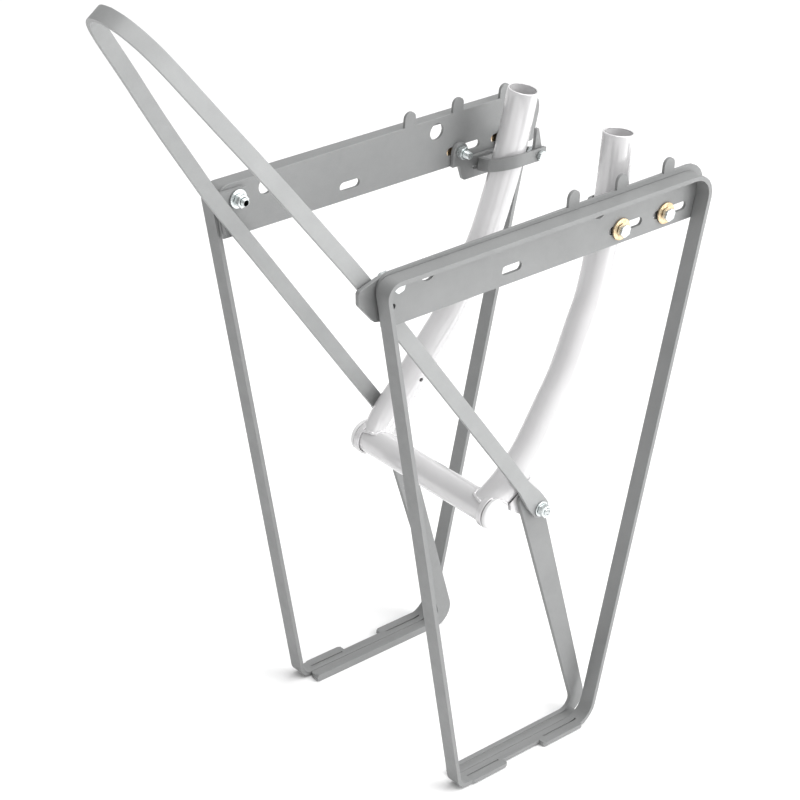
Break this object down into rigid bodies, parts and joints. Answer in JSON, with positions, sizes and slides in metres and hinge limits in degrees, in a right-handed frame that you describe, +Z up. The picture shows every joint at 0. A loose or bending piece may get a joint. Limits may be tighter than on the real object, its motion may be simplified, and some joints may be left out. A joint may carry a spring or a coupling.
{
  "type": "bicycle rear rack",
  "caption": "Open bicycle rack with flat-bar side loops, slotted rails, an arched hoop, struts and a clamped white tubular yoke.",
  "frame": {"origin": "centre of the bounding box at floor level, under the feet", "axes": "+Z up, +X toward the clamps, +Y to the rack's left"},
  "size_m": [0.4208, 0.1744, 0.5722],
  "materials": {
    "rack_paint": "satin grey",
    "yoke_paint": "gloss white",
    "cap_plastic": "soft gloss white",
    "zinc": "bright zinc",
    "brass": "yellow passivated"
  },
  "bodies": {
    "root": {"left_side_loop": "rack_paint", "right_side_loop": "rack_paint", "left_rail_plate": "rack_paint", "right_rail_plate": "rack_paint", "left_hoop_bracket": "rack_paint", "right_hoop_bracket": "rack_paint", "left_strut": "rack_paint", "right_strut": "rack_paint", "left_clamp_bracket": "rack_paint", "right_clamp_bracket": "rack_paint", "left_clamp_strap": "rack_paint", "right_clamp_strap": "rack_paint", "hoop": "rack_paint", "left_stay_tube": "yoke_paint", "right_stay_tube": "yoke_paint", "left_collar": "yoke_paint", "right_collar": "yoke_paint", "left_pivot_lug": "yoke_paint", "right_pivot_lug": "yoke_paint", "cross_tube": "yoke_paint", "left_end_cap": "cap_plastic", "right_end_cap": "cap_plastic", "left_rear_bolt": "zinc", "right_rear_bolt": "zinc", "left_rear_washer": "zinc", "right_rear_washer": "zinc", "left_rear_nut": "zinc", "right_rear_nut": "zinc", "left_pivot_bolt": "zinc", "right_pivot_bolt": "zinc", "left_pivot_washer": "zinc", "right_pivot_washer": "zinc", "left_pivot_nut": "zinc", "right_pivot_nut": "zinc", "left_rear_clamp_bolt": "zinc", "right_rear_clamp_bolt": "zinc", "left_front_clamp_bolt": "zinc", "right_front_clamp_bolt": "zinc", "left_rear_clamp_nut": "zinc", "right_rear_clamp_nut": "zinc", "left_front_clamp_nut": "zinc", "right_front_clamp_nut": "zinc", "left_pinch_screw": "zinc", "right_pinch_screw": "zinc", "left_pinch_nut": "zinc", "right_pinch_nut": "zinc", "left_rear_clamp_washer": "brass", "right_rear_clamp_washer": "brass", "left_front_clamp_washer": "brass", "right_front_clamp_washer": "brass"}
  },
  "joints": []
}
